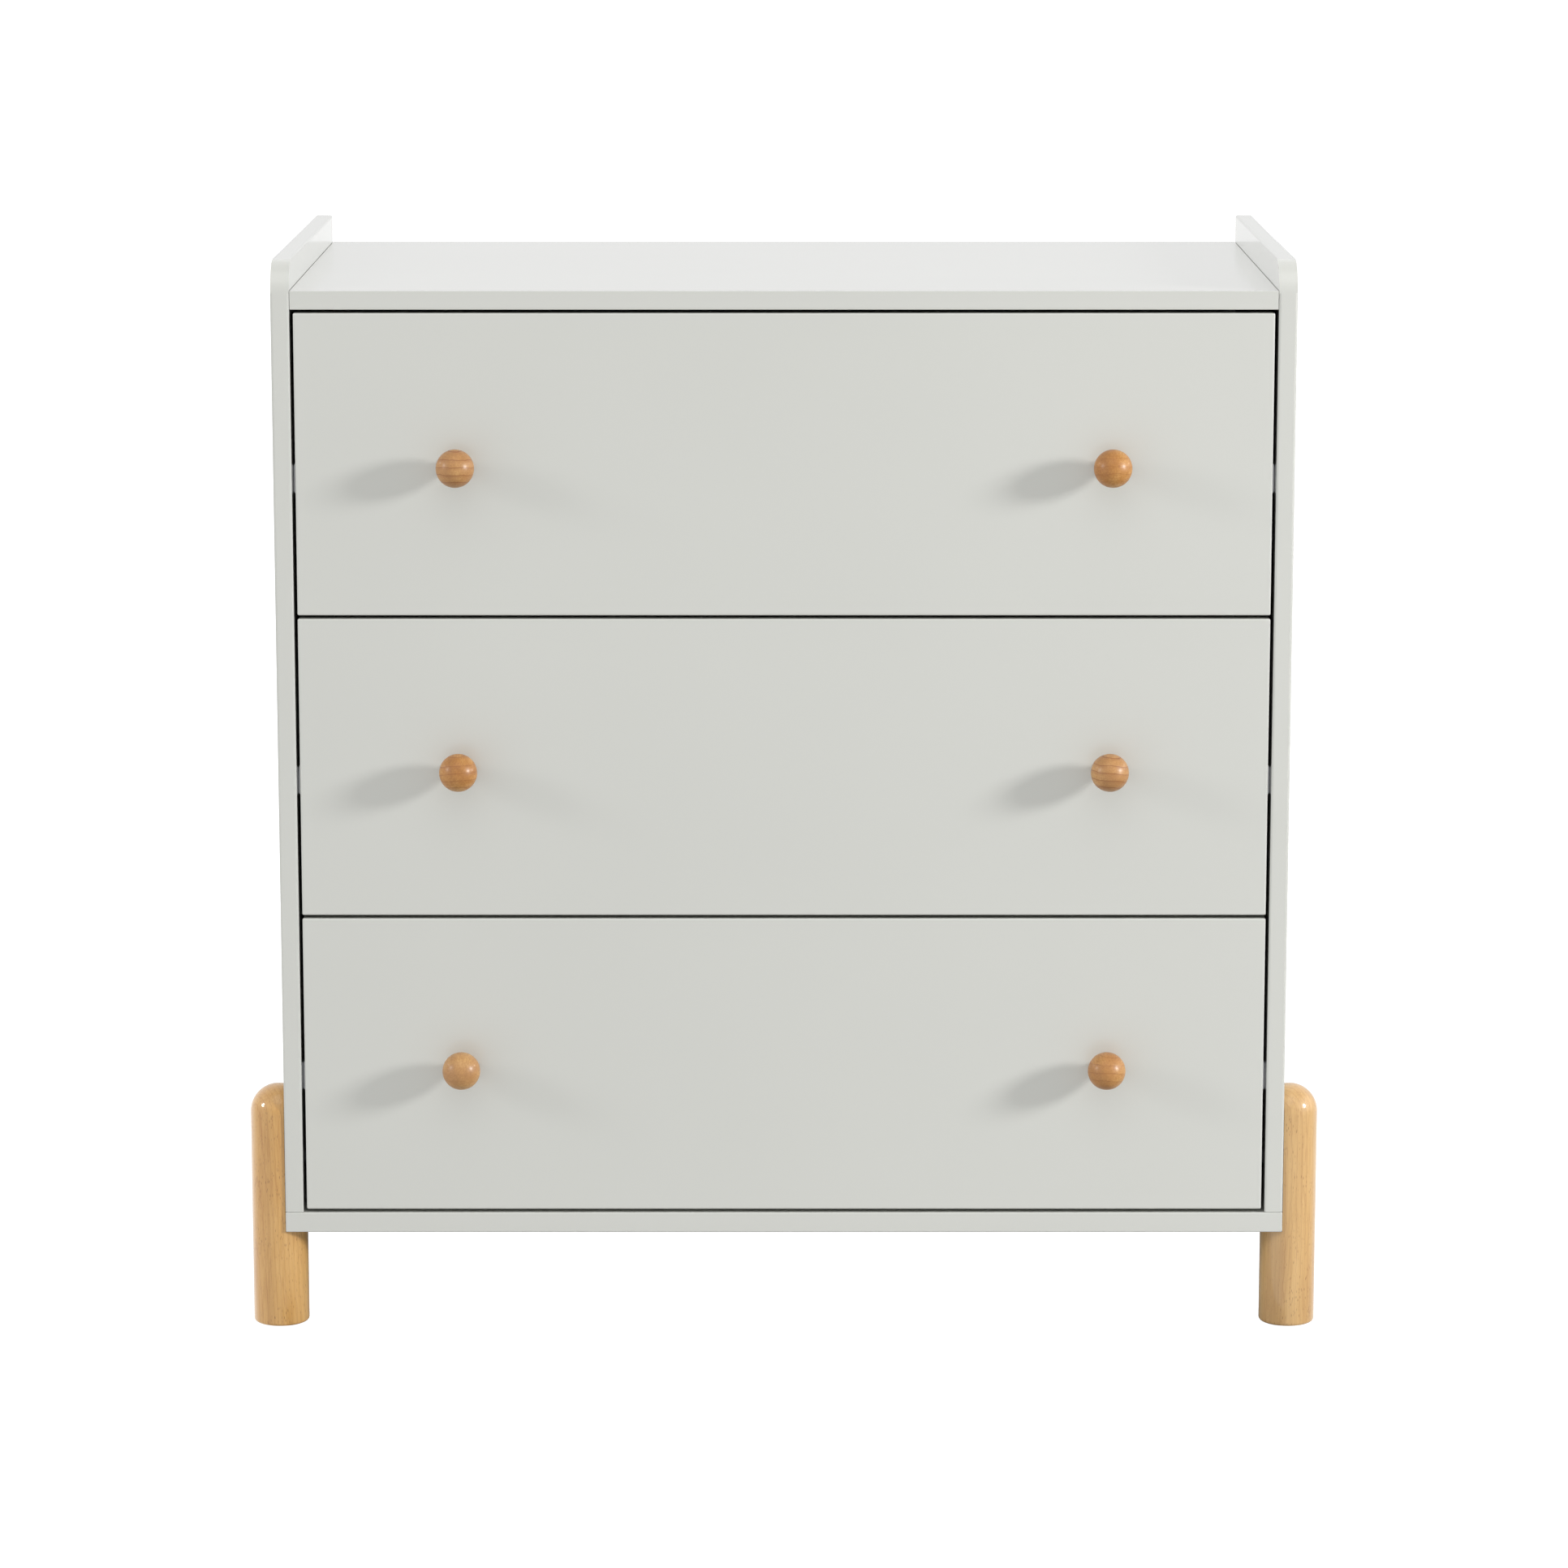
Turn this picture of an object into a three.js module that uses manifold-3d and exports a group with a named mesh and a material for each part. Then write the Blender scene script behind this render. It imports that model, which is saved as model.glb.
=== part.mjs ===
// Three-drawer changing dresser: a low chest with side panels that rise above a recessed top,
// set-in drawers on ball-bearing slides, ball knobs and notched round legs.
// Millimetres. +Z is up, the drawer fronts face -Y, and left and right are as seen from the front.
// The origin is on the floor, under the centre of the whole object's box.
import * as THREE from 'three';
import { mergeVertices } from 'three/addons/utils/BufferGeometryUtils.js';
import Module from 'manifold-3d';

// Fits
const SEAM = 0.3; // air between two pieces that touch
const REVEAL = 3; // gap round every drawer front

// Carcass
const CARCASS_WIDTH = 880;
const CARCASS_DEPTH = 480;
const CARCASS_TOP = 944;
const UNDERSIDE = 87; // floor to the bottom panel
const BOARD = 16; // side panels, top panel and drawer fronts
const BOTTOM_BOARD = 18;
const TOP_RECESS = 25; // side panels above the top panel
const CORNER_RADIUS = 28; // front top corner of a side panel
const BACK_BOARD = 3;
const BACK_INSET = 12; // back panel to the rear edges
const GROOVE_DEPTH = 6;

// Legs
const LEG_DIAMETER = 49;
const LEG_HEIGHT = 216;
const LEG_AXIS_X = 447;
const LEG_SETBACK = 26; // leg axis behind the front, and in front of the rear edges
const LEG_FOOT_CHAMFER = 2.5;
const BOLT_HEIGHT = 150;
const BOLT_DIAMETER = 8;
const BOLT_LENGTH = 38;
const BOLT_HEAD_DIAMETER = 16;
const BOLT_HEAD = 3;

// Drawers, measured from the lower edge and the face of each front
const DRAWER_NAMES = ['lower', 'middle', 'upper'];
const BOX_WIDTH = 826;
const BOX_DEPTH = 420;
const BOX_HEIGHT = 206;
const BOX_RISE = 14; // lower edge of the front to the lower edge of the box
const BOX_BOARD = 12;
const DRAWER_BOTTOM_BOARD = 3;
const DRAWER_BOTTOM_RISE = 10; // lower edge of the box to the groove for its bottom

// Knobs
const KNOB_DIAMETER = 33;
const KNOB_CENTRE_OUT = 24; // ball centre in front of the drawer front
const KNOB_SPREAD = 564;
const NECK_DIAMETER = 13;
const SCREW_DIAMETER = 4;
const SCREW_GRIP = 17; // screw inside the knob
const SCREW_HEAD_DIAMETER = 9;
const SCREW_HEAD = 2.5;

// Ball-bearing slides: a cabinet channel, a U-shaped ball retainer and a drawer channel
const SLIDE_LENGTH = 400;
const SLIDE_SETBACK = 2; // cabinet member behind the back of the drawer front
const SLIDE_HEIGHT = 27;
const SLIDE_STEEL = 1.2;
const CABINET_MEMBER_DEPTH = 8.5;
const CABINET_LIP = 3.2;
const RETAINER_LENGTH = 180;
const RETAINER_SETBACK = 160; // retainer behind the front end of the cabinet member
const RETAINER_STEEL = 0.8;
const RETAINER_HEIGHT = 22;
const RETAINER_DEPTH = 5.2;
const DRAWER_MEMBER_HEIGHT = 18;
const DRAWER_MEMBER_DEPTH = 7.5;

// Facets round a full turn
const LEG_SEGMENTS = 32;
const KNOB_SEGMENTS = 24;
const SCREW_SEGMENTS = 12;
const ARC_STEPS = 6;

// Sizes that follow
const INNER_X = CARCASS_WIDTH / 2 - BOARD;
const FLOOR_OF_CARCASS = UNDERSIDE + BOTTOM_BOARD;
const TOP_SURFACE = CARCASS_TOP - TOP_RECESS;
const TOP_UNDERSIDE = TOP_SURFACE - BOARD;
const FRONT_WIDTH = 2 * (INNER_X - REVEAL);
const DRAWER_COUNT = DRAWER_NAMES.length;
const DRAWER_PITCH = (TOP_UNDERSIDE - FLOOR_OF_CARCASS - REVEAL) / DRAWER_COUNT;
const FRONT_HEIGHT = DRAWER_PITCH - REVEAL;
const KNOB_REACH = KNOB_CENTRE_OUT + KNOB_DIAMETER / 2;
const FRONT_Y = (KNOB_REACH - CARCASS_DEPTH) / 2;
const REAR_Y = FRONT_Y + CARCASS_DEPTH;
const BACK_PANEL_Y = REAR_Y - BACK_INSET - BACK_BOARD;
const SLIDE_RISE = BOX_RISE + BOX_HEIGHT / 2;
const SIDE_SPACE = INNER_X - BOX_WIDTH / 2;

const whitePaint = new THREE.MeshStandardMaterial({ color: 0xdcddd6, roughness: 0.42 });
const frontPaint = new THREE.MeshStandardMaterial({ color: 0xd6d7d0, roughness: 0.45 });
const boxBoard = new THREE.MeshStandardMaterial({ color: 0xe6e4dc, roughness: 0.6 });
const thinBoard = new THREE.MeshStandardMaterial({ color: 0xe2e0d8, roughness: 0.7 });
const legWood = new THREE.MeshStandardMaterial({ color: 0xd9b17c, roughness: 0.45 });
const knobWood = new THREE.MeshStandardMaterial({ color: 0xd39a5b, roughness: 0.4 });
const zincSteel = new THREE.MeshStandardMaterial({ color: 0xb9bcc0, roughness: 0.35, metalness: 1 });
const boltSteel = new THREE.MeshStandardMaterial({ color: 0x9a9da2, roughness: 0.3, metalness: 1 });

const wasm = await Module();
wasm.setup();

function solidOf(geometry) {
  const bare = geometry.clone();
  bare.deleteAttribute('normal');
  bare.deleteAttribute('uv');
  const merged = mergeVertices(bare);
  const corners = merged.index.array;
  const triangles = [];
  for (let i = 0; i < corners.length; i += 3) {
    const [a, b, c] = corners.slice(i, i + 3);
    if (a !== b && b !== c && c !== a) triangles.push(a, b, c);
  }
  return new wasm.Manifold(new wasm.Mesh({
    numProp: 3,
    vertProperties: new Float32Array(merged.attributes.position.array),
    triVerts: new Uint32Array(triangles),
  }));
}

function cut(geometry, cutters) {
  const rest = cutters.reduce((solid, cutter) => solid.subtract(solidOf(cutter)), solidOf(geometry));
  const mesh = rest.getMesh();
  const result = new THREE.BufferGeometry();
  result.setAttribute('position', new THREE.BufferAttribute(mesh.vertProperties, 3));
  result.setIndex(new THREE.BufferAttribute(mesh.triVerts, 1));
  result.computeVertexNormals();
  return result;
}

// A box between two corners, each [x, y, z].
function block(low, high) {
  const size = high.map((value, i) => value - low[i]);
  const centre = high.map((value, i) => (value + low[i]) / 2);
  return new THREE.BoxGeometry(...size).translate(...centre);
}

// A plain rod along +Y from the origin, for holes.
function rod(diameter, length, segments) {
  const radius = diameter / 2;
  return new THREE.CylinderGeometry(radius, radius, length, segments).translate(0, length / 2, 0);
}

// A screw or bolt: its shank runs along +Y from the origin and its head lies behind the origin.
function headedRod(diameter, length, headDiameter, head, segments) {
  const profile = [
    [0, -head],
    [headDiameter / 2 - 1, -head],
    [headDiameter / 2, 1 - head],
    [headDiameter / 2, 0],
    [diameter / 2, 0],
    [diameter / 2, length],
    [0, length],
  ];
  return new THREE.LatheGeometry(profile.map(([r, y]) => new THREE.Vector2(r, y)), segments);
}

// Points on a circle of the profile plane, between two angles from the +X axis.
function arcPoints(centreX, centreY, radius, from, to, steps) {
  return Array.from({ length: steps + 1 }, (_, i) => {
    const angle = from + ((to - from) * i) / steps;
    return new THREE.Vector2(centreX + radius * Math.cos(angle), centreY + radius * Math.sin(angle));
  });
}

function addMesh(parent, name, geometry, material, position = [0, 0, 0]) {
  const mesh = new THREE.Mesh(geometry, material);
  mesh.name = name;
  mesh.position.set(...position);
  parent.add(mesh);
  return mesh;
}

// Side panel: its outline lies in the YZ plane, and the groove for the back panel is on its inner face.
function addSidePanel(parent, side, sign) {
  const height = CARCASS_TOP - FLOOR_OF_CARCASS;
  const corner = arcPoints(
    CORNER_RADIUS, height - CORNER_RADIUS, CORNER_RADIUS, Math.PI, Math.PI / 2, ARC_STEPS + 2);
  const outline = new THREE.Shape([
    new THREE.Vector2(0, SEAM),
    ...corner,
    new THREE.Vector2(CARCASS_DEPTH, height),
    new THREE.Vector2(CARCASS_DEPTH, SEAM),
  ]);
  const turn = new THREE.Matrix4().makeBasis(
    new THREE.Vector3(0, 1, 0), new THREE.Vector3(0, 0, 1), new THREE.Vector3(1, 0, 0));
  const panel = new THREE.ExtrudeGeometry(outline, { depth: BOARD, bevelEnabled: false });
  panel.applyMatrix4(turn).translate(-BOARD / 2, 0, 0);

  const innerFace = (-sign * BOARD) / 2;
  const grooveEnd = innerFace + sign * GROOVE_DEPTH;
  const grooveY = CARCASS_DEPTH - BACK_INSET - BACK_BOARD;
  const grooveTop = TOP_UNDERSIDE - FLOOR_OF_CARCASS + GROOVE_DEPTH;
  const groove = block(
    [Math.min(innerFace - 1, grooveEnd), grooveY - SEAM, -1],
    [Math.max(innerFace + 1, grooveEnd), grooveY + BACK_BOARD + SEAM, grooveTop]);
  const boltHoles = [LEG_SETBACK, CARCASS_DEPTH - LEG_SETBACK].map((y) =>
    rod(BOLT_DIAMETER + 2 * SEAM, 2 * BOARD, SCREW_SEGMENTS)
      .rotateZ(-Math.PI / 2)
      .translate(-BOARD, y, BOLT_HEIGHT - FLOOR_OF_CARCASS));
  addMesh(parent, `side_panel_${side}`, cut(panel, [groove, ...boltHoles]), whitePaint,
    [sign * (INNER_X + BOARD / 2), FRONT_Y, FLOOR_OF_CARCASS]);
}

function addPanels(parent) {
  const grooveFront = BACK_PANEL_Y - SEAM;
  const grooveRear = BACK_PANEL_Y + BACK_BOARD + SEAM;
  const topEnd = INNER_X - SEAM;
  const grooveX = INNER_X + GROOVE_DEPTH;

  const top = block([-topEnd, FRONT_Y, TOP_UNDERSIDE], [topEnd, REAR_Y, TOP_SURFACE]);
  const topGroove = block(
    [-grooveX, grooveFront, TOP_UNDERSIDE - 1], [grooveX, grooveRear, TOP_UNDERSIDE + GROOVE_DEPTH]);
  addMesh(parent, 'top_panel', cut(top, [topGroove]), whitePaint);

  const bottom = block(
    [-CARCASS_WIDTH / 2, FRONT_Y, UNDERSIDE], [CARCASS_WIDTH / 2, REAR_Y, FLOOR_OF_CARCASS]);
  const bottomGroove = block(
    [-grooveX, grooveFront, FLOOR_OF_CARCASS - GROOVE_DEPTH], [grooveX, grooveRear, FLOOR_OF_CARCASS + 1]);
  addMesh(parent, 'bottom_panel', cut(bottom, [bottomGroove]), whitePaint);

  const back = block(
    [-grooveX + SEAM, BACK_PANEL_Y, FLOOR_OF_CARCASS - GROOVE_DEPTH + SEAM],
    [grooveX - SEAM, BACK_PANEL_Y + BACK_BOARD, TOP_UNDERSIDE + GROOVE_DEPTH - SEAM]);
  addMesh(parent, 'back_panel', back, thinBoard);
}

// A leg and its bolt, for the right-hand side; the left-hand pair is the same one turned round.
function addLeg(parent, place, sign, axisY) {
  const radius = LEG_DIAMETER / 2;
  const profile = [
    new THREE.Vector2(0, 0),
    new THREE.Vector2(radius - LEG_FOOT_CHAMFER, 0),
    new THREE.Vector2(radius, LEG_FOOT_CHAMFER),
    ...arcPoints(0, LEG_HEIGHT - radius, radius, 0, Math.PI / 2, ARC_STEPS),
  ];
  profile[profile.length - 1].x = 0;
  const post = new THREE.LatheGeometry(profile, LEG_SEGMENTS).rotateX(Math.PI / 2);

  const notchFace = CARCASS_WIDTH / 2 + SEAM - LEG_AXIS_X;
  const notch = block(
    [-LEG_DIAMETER, -LEG_DIAMETER, UNDERSIDE - SEAM], [notchFace, LEG_DIAMETER, LEG_HEIGHT + 1]);
  const headFace = INNER_X - SEAM - LEG_AXIS_X;
  const boltHole = rod(BOLT_DIAMETER + 2 * SEAM, BOLT_LENGTH + 1, SCREW_SEGMENTS)
    .rotateZ(-Math.PI / 2)
    .translate(headFace, 0, BOLT_HEIGHT);

  const assembly = new THREE.Group();
  assembly.position.set(sign * LEG_AXIS_X, axisY, 0);
  assembly.rotation.z = sign > 0 ? 0 : Math.PI;
  parent.add(assembly);
  addMesh(assembly, `leg_${place}`, cut(post, [notch, boltHole]), legWood);
  const bolt = headedRod(BOLT_DIAMETER, BOLT_LENGTH, BOLT_HEAD_DIAMETER, BOLT_HEAD, SCREW_SEGMENTS);
  addMesh(assembly, `leg_bolt_${place}`, bolt.rotateZ(-Math.PI / 2), boltSteel, [headFace, 0, BOLT_HEIGHT]);
}

// A steel strip along Y. Section points are [distance from the side panel, height].
function slideMember(section, sign, length) {
  const points = section.map(([inward, height]) => new THREE.Vector2(-sign * inward, height));
  const outline = new THREE.Shape(points);
  const strip = new THREE.ExtrudeGeometry(outline, { depth: length, bevelEnabled: false });
  return strip.rotateX(Math.PI / 2).translate(0, length, 0);
}

// A U section: its web is at `web`, its two flanges reach to `tip`.
function channelSection(web, tip, height, steel) {
  const half = height / 2;
  const inside = web + Math.sign(tip - web) * steel;
  return [
    [web, -half], [tip, -half], [tip, steel - half], [inside, steel - half],
    [inside, half - steel], [tip, half - steel], [tip, half], [web, half],
  ];
}

// The cabinet member's flanges end in lips that keep the balls in.
function cabinetSection() {
  const half = SLIDE_HEIGHT / 2;
  const web = SEAM;
  const tip = SEAM + CABINET_MEMBER_DEPTH;
  const lip = half - CABINET_LIP;
  return [
    [web, -half], [tip, -half], [tip, -lip], [tip - SLIDE_STEEL, -lip],
    [tip - SLIDE_STEEL, SLIDE_STEEL - half], [web + SLIDE_STEEL, SLIDE_STEEL - half],
    [web + SLIDE_STEEL, half - SLIDE_STEEL], [tip - SLIDE_STEEL, half - SLIDE_STEEL],
    [tip - SLIDE_STEEL, lip], [tip, lip], [tip, half], [web, half],
  ];
}

function addFixedSlideParts(parent, name, side, sign, z) {
  const x = sign * INNER_X;
  const frontEnd = FRONT_Y + BOARD + SLIDE_SETBACK;
  addMesh(parent, `slide_${name}_${side}_cabinet_member`,
    slideMember(cabinetSection(), sign, SLIDE_LENGTH), zincSteel, [x, frontEnd, z]);
  const web = SEAM + SLIDE_STEEL + SEAM;
  const retainer = channelSection(web, web + RETAINER_DEPTH, RETAINER_HEIGHT, RETAINER_STEEL);
  addMesh(parent, `slide_${name}_${side}_ball_retainer`,
    slideMember(retainer, sign, RETAINER_LENGTH), zincSteel, [x, frontEnd + RETAINER_SETBACK, z]);
}

// Turned ball on a short neck, pointing along -Y, with a blind hole for its screw.
function knobGeometry() {
  const radius = KNOB_DIAMETER / 2;
  const neck = NECK_DIAMETER / 2;
  const neckAngle = Math.acos(neck / radius);
  const profile = [
    new THREE.Vector2(0, SEAM),
    new THREE.Vector2(neck, SEAM),
    ...arcPoints(0, KNOB_CENTRE_OUT, radius, -neckAngle, Math.PI / 2, 2 * ARC_STEPS),
  ];
  profile[profile.length - 1].x = 0;
  const hole = rod(SCREW_DIAMETER + 2 * SEAM, 2 * SCREW_GRIP, SCREW_SEGMENTS).translate(0, 1 - SCREW_GRIP, 0);
  return cut(new THREE.LatheGeometry(profile, KNOB_SEGMENTS), [hole]).rotateX(Math.PI);
}

function addDrawer(parent, name, z) {
  const drawer = new THREE.Group();
  drawer.position.set(0, FRONT_Y, z);
  parent.add(drawer);
  const boxHalf = BOX_WIDTH / 2;
  const insideHalf = boxHalf - BOX_BOARD;
  const boxFront = BOARD + SEAM;
  const boxRear = boxFront + BOX_DEPTH;
  const boxTop = BOX_RISE + BOX_HEIGHT;
  const grooveLow = BOX_RISE + DRAWER_BOTTOM_RISE;
  const grooveHigh = grooveLow + DRAWER_BOTTOM_BOARD + 2 * SEAM;
  const grooveX = insideHalf + GROOVE_DEPTH;
  const knobHeight = FRONT_HEIGHT / 2;
  const sides = [['left', -1], ['right', 1]];

  const front = block([-FRONT_WIDTH / 2, 0, 0], [FRONT_WIDTH / 2, BOARD, FRONT_HEIGHT]);
  const frontGroove = block([-grooveX, BOARD - GROOVE_DEPTH, grooveLow], [grooveX, BOARD + 1, grooveHigh]);
  const screwHoles = sides.map(([, sign]) =>
    rod(SCREW_DIAMETER + 2 * SEAM, 2 * BOARD, SCREW_SEGMENTS)
      .translate((sign * KNOB_SPREAD) / 2, -BOARD / 2, knobHeight));
  addMesh(drawer, `drawer_${name}_front`, cut(front, [frontGroove, ...screwHoles]), frontPaint);

  for (const [side, sign] of sides) {
    const inner = sign * insideHalf;
    const outer = sign * boxHalf;
    const grooveBottom = sign * grooveX;
    const board = block(
      [Math.min(inner, outer), boxFront, BOX_RISE], [Math.max(inner, outer), boxRear, boxTop]);
    const groove = block(
      [Math.min(inner - sign, grooveBottom), 0, grooveLow],
      [Math.max(inner - sign, grooveBottom), boxRear + 1, grooveHigh]);
    addMesh(drawer, `drawer_${name}_side_${side}`, cut(board, [groove]), boxBoard);

    const knobX = (sign * KNOB_SPREAD) / 2;
    addMesh(drawer, `drawer_${name}_knob_${side}`, knobGeometry(), knobWood, [knobX, 0, knobHeight]);
    const screw = headedRod(
      SCREW_DIAMETER, BOARD + 2 * SEAM + SCREW_GRIP - 1, SCREW_HEAD_DIAMETER, SCREW_HEAD, SCREW_SEGMENTS);
    addMesh(drawer, `drawer_${name}_knob_screw_${side}`,
      screw.rotateX(Math.PI), boltSteel, [knobX, BOARD + SEAM, knobHeight]);

    const web = SIDE_SPACE - SEAM;
    const member = channelSection(web, web - DRAWER_MEMBER_DEPTH, DRAWER_MEMBER_HEIGHT, SLIDE_STEEL);
    addMesh(drawer, `slide_${name}_${side}_drawer_member`,
      slideMember(member, sign, SLIDE_LENGTH), zincSteel, [sign * INNER_X, BOARD + 1, SLIDE_RISE]);
  }

  const back = block(
    [SEAM - insideHalf, boxRear - BOX_BOARD, grooveHigh], [insideHalf - SEAM, boxRear, boxTop]);
  addMesh(drawer, `drawer_${name}_back`, back, boxBoard);
  const bottom = block(
    [SEAM - grooveX, BOARD - GROOVE_DEPTH + SEAM, grooveLow + SEAM],
    [grooveX - SEAM, boxRear, grooveHigh - SEAM]);
  addMesh(drawer, `drawer_${name}_bottom_panel`, bottom, thinBoard);
}

const group = new THREE.Group();
addPanels(group);
for (const [side, sign] of [['left', -1], ['right', 1]]) {
  addSidePanel(group, side, sign);
  addLeg(group, `front_${side}`, sign, FRONT_Y + LEG_SETBACK);
  addLeg(group, `rear_${side}`, sign, REAR_Y - LEG_SETBACK);
}
DRAWER_NAMES.forEach((name, i) => {
  const z = FLOOR_OF_CARCASS + REVEAL + i * DRAWER_PITCH;
  addDrawer(group, name, z);
  addFixedSlideParts(group, name, 'left', -1, z + SLIDE_RISE);
  addFixedSlideParts(group, name, 'right', 1, z + SLIDE_RISE);
});

export default group;
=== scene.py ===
# The looks of the three-drawer changing dresser: eased painted boards, lacquered legs and knobs,
# zinc drawer slides, the fittings that show when a drawer is open, and a plain pale studio.
# Metres, in the CAD frame: +X to the right, the drawer fronts face -Y, the floor is at Z = 0.
import math

import bmesh
import bpy
from mathutils import Matrix, Vector


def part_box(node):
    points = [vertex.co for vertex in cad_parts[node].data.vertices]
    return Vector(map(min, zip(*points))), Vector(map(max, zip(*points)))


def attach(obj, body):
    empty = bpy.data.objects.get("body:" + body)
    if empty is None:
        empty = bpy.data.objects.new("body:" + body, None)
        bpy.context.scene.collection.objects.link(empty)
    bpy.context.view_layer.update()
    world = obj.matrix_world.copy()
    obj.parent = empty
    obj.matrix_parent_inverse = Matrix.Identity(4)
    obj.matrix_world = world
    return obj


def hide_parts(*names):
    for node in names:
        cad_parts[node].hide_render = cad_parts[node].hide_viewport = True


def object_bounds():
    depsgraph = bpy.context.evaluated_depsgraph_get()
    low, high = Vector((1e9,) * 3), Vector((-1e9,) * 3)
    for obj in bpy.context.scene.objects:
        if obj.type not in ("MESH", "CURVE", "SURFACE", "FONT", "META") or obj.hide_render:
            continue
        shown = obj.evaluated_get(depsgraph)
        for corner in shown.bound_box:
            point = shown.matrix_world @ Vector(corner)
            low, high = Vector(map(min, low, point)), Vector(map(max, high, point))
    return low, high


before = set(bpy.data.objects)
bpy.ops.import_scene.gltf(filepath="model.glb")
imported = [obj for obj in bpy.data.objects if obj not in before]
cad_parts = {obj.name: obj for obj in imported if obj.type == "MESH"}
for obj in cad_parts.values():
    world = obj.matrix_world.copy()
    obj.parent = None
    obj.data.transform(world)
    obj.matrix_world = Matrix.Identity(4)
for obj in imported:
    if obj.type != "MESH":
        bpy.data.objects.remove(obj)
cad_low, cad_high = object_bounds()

MM = 0.001
DRAWERS = ("lower", "middle", "upper")
SIDES = (("left", -1), ("right", 1))
ENDS = ("front", "rear")

# Shapes, in metres
PANEL_EASE = 2.8 * MM
BOARD_EASE = 0.4 * MM
BOTTOM_EASE = 1.1 * MM
FRONT_EASE = 1.5 * MM
BOX_EASE = 0.5 * MM
THIN_EASE = 0.3 * MM
CORNER_RADIUS = 28 * MM
FOOT_FILLET = 3 * MM
CAM_DIAMETER = 15 * MM
BALL_DIAMETER = 3.2 * MM
BALLS_PER_ROW = 10
BALL_FROM_WALL = 5.2 * MM
BALL_ROW_HEIGHT = 10.65 * MM
CAM_FROM_EDGE = 32 * MM
CAM_FROM_FRONT = 34 * MM
BOX_SCREW_FROM_REAR = 6 * MM
BOX_SCREW_RISE = 0.8 * MM
SCREW_HEAD_DIAMETER = 7 * MM
SCREW_HEAD_RISE = 1.6 * MM
SLIDE_SHEET = 1.2 * MM
RETAINER_SHEET = 0.8 * MM
BOLT_THREAD_RADIUS = 4 * MM
BOLT_THREAD_PITCH = 1.25 * MM
SHARP_ANGLE = math.radians(40)

# Camera, from the drawer fronts and the floor
CAMERA_DISTANCE = 4.787
CAMERA_HEIGHT = 1.383
CAMERA_PITCH = math.radians(10.57)
CAMERA_LENS = 128.5
CAMERA_SENSOR = 36

# Studio: light of the surround from below and all round, and what is added on each side
GROUND_LIGHT = 0.31
ROUND_LIGHT = 0.2
ZENITH_LIGHT = 0.42
FRONT_LIGHT = 0.4
BACK_LIGHT = 0.66
LEFT_LIGHT = 0.5

# Studio floor, and the hidden dark grey sheet under the carcass that stands in for the floor's shade
# there
FLOOR_SIZE = 60
FLOOR_GLOW = 0.96
FLOOR_GREY = (0.35, 0.35, 0.35, 1)
FLOOR_LEVEL = -0.2 * MM
SHADE_LEVEL = -1 * MM
SHADE_REACH = 40 * MM


def facing(direction):
    """A rotation that turns local +Z to a direction."""
    return Vector(direction).to_track_quat("Z", "Y").to_matrix().to_4x4()


# ---------------------------------------------------------------- meshes


def new_object(name, bm, material):
    """Links a bmesh as an object, smooth but for its sharp edges."""
    bmesh.ops.recalc_face_normals(bm, faces=bm.faces)
    mesh = bpy.data.meshes.new(name)
    bm.to_mesh(mesh)
    bm.free()
    mesh.materials.append(material)
    mesh.shade_smooth()
    mesh.set_sharp_from_angle(angle=SHARP_ANGLE)
    obj = bpy.data.objects.new(name, mesh)
    bpy.context.scene.collection.objects.link(obj)
    return obj


def flatten_faces(obj):
    """Keeps the broad faces flat up to their rounded edges."""
    weighted = obj.modifiers.new("flat_faces", "WEIGHTED_NORMAL")
    weighted.keep_sharp = True
    weighted.weight = 100


def settle(obj, body, slot, *nodes):
    """Rides the piece on its body and hides the CAD nodes that it stands for. The slot, for its finish,
    is not used.
    """
    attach(obj, body)
    if nodes:
        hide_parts(*nodes)


def ease_edges(bm, edges, radius, segments):
    bmesh.ops.bevel(
        bm, geom=edges, offset=radius, segments=segments, profile=0.5, affect="EDGES",
        clamp_overlap=True)


def eased_block(low, high, radius, segments):
    bm = bmesh.new()
    bmesh.ops.create_cube(bm, size=1)
    bmesh.ops.scale(bm, vec=high - low, verts=bm.verts)
    bmesh.ops.translate(bm, vec=(low + high) / 2, verts=bm.verts)
    ease_edges(bm, bm.edges[:], radius, segments)
    return bm


def prism(bm, points, matrix, length):
    """Extrudes an outline of (x, y) points along +Z by a length, then places it."""
    bottom = [bm.verts.new(matrix @ Vector((x, y, 0))) for x, y in points]
    top = [bm.verts.new(matrix @ Vector((x, y, length))) for x, y in points]
    bm.faces.new(bottom)
    bm.faces.new(top)
    for i in range(len(points)):
        j = (i + 1) % len(points)
        bm.faces.new((bottom[i], bottom[j], top[j], top[i]))


def lathe(bm, profile, matrix, segments):
    """Turns (radius, height) points round +Z, then places the result. The ends lie on the axis."""
    rings = []
    for radius, height in profile:
        if radius < 1e-9:
            rings.append([bm.verts.new(matrix @ Vector((0, 0, height)))])
            continue
        turns = [2 * math.pi * i / segments for i in range(segments)]
        rings.append([
            bm.verts.new(matrix @ Vector((radius * math.cos(t), radius * math.sin(t), height)))
            for t in turns])
    for lower, upper in zip(rings, rings[1:]):
        for i in range(segments):
            j = (i + 1) % segments
            corners = [lower[i % len(lower)], lower[j % len(lower)],
                       upper[j % len(upper)], upper[i % len(upper)]]
            bm.faces.new(list(dict.fromkeys(corners)))


def arc(centre_x, centre_y, radius, start, end, steps):
    """Points on a circle between two angles in degrees."""
    turns = [math.radians(start + (end - start) * i / steps) for i in range(steps + 1)]
    return [(centre_x + radius * math.cos(t), centre_y + radius * math.sin(t)) for t in turns]


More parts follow.
